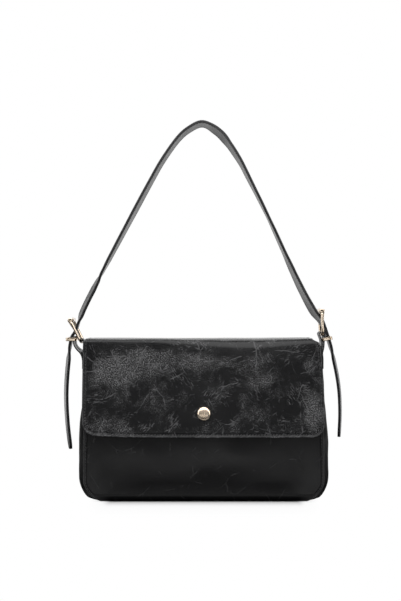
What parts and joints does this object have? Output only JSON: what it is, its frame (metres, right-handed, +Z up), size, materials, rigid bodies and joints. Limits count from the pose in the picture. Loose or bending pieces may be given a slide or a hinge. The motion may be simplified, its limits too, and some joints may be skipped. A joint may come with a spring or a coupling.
{
  "type": "shoulder bag",
  "caption": "Small flap shoulder bag with a snap closure and one strap that stands in an arch and runs through two pin buckles.",
  "frame": {"origin": "on the surface the bag stands on, under the middle of the base", "axes": "+Z up through the strap's arch, +X to the right of someone who looks at the flap, -Y out of the flap's front"},
  "size_m": [0.307, 0.0779, 0.4136],
  "materials": {
    "shell_leather": "glossy crinkled black leather",
    "strap_leather": "smooth black leather with painted edges",
    "lining_fabric": "matt black woven lining",
    "board": "grey stiffening board",
    "pale_gold": "polished pale gold plating"
  },
  "bodies": {
    "shell": {"front_panel": "shell_leather", "back_panel": "shell_leather", "base_panel": "shell_leather", "side_gusset_left": "shell_leather", "side_gusset_right": "shell_leather", "base_board": "board", "lining": "lining_fabric", "inner_pocket": "lining_fabric", "flap_yoke": "shell_leather", "snap_stud": "pale_gold", "snap_post": "pale_gold", "tab_left": "strap_leather", "tab_right": "strap_leather"},
    "flap_over_mouth": {"flap_top": "shell_leather", "flap_top_lining": "lining_fabric"},
    "flap_over_front": {"flap_front": "shell_leather", "flap_front_lining": "lining_fabric", "snap_cap": "pale_gold", "snap_socket": "pale_gold"},
    "strap": {"strap_outer": "strap_leather", "strap_inner": "strap_leather", "buckle_frame_left": "pale_gold", "buckle_frame_right": "pale_gold"},
    "keeper_left": {"keeper_left": "pale_gold"},
    "keeper_right": {"keeper_right": "pale_gold"},
    "tongue_left": {"buckle_tongue_left": "pale_gold"},
    "tongue_right": {"buckle_tongue_right": "pale_gold"}
  },
  "joints": [
    {"name": "flap_lift", "type": "hinge", "parent": "shell", "child": "flap_over_mouth", "pos_m": [0, 0.01975, 0.17075], "axis": [-1, 0, 0], "range_deg": [0, 30]},
    {"name": "flap_bend", "type": "hinge", "parent": "flap_over_mouth", "child": "flap_over_front", "pos_m": [0, -0.02321, 0.17024], "axis": [-1, 0, 0], "range_deg": [0, 124]},
    {"name": "strap_swing", "type": "hinge", "parent": "shell", "child": "strap", "pos_m": [0, 0, 0.16], "axis": [1, 0, 0], "range_deg": [-90, 90], "deforming": ["tab_left", "tab_right"]},
    {"name": "keeper_left_slide", "type": "slide", "parent": "strap", "child": "keeper_left", "axis": [-0.16, 0, -0.9871], "range_m": [0, 0.003]},
    {"name": "keeper_right_slide", "type": "slide", "parent": "strap", "child": "keeper_right", "axis": [0.28, 0, -0.96], "range_m": [0, 0.003]},
    {"name": "tongue_left_swing", "type": "hinge", "parent": "strap", "child": "tongue_left", "pos_m": [-0.1353, 0, 0.1712], "axis": [0, -1, 0], "range_deg": [0, 8]},
    {"name": "tongue_right_swing", "type": "hinge", "parent": "strap", "child": "tongue_right", "pos_m": [0.1306, 0, 0.1788], "axis": [0, 1, 0], "range_deg": [0, 8]}
  ],
  "couplings": [
    {"joint": "flap_lift", "follows": "flap_bend", "ratio": 0.241}
  ]
}
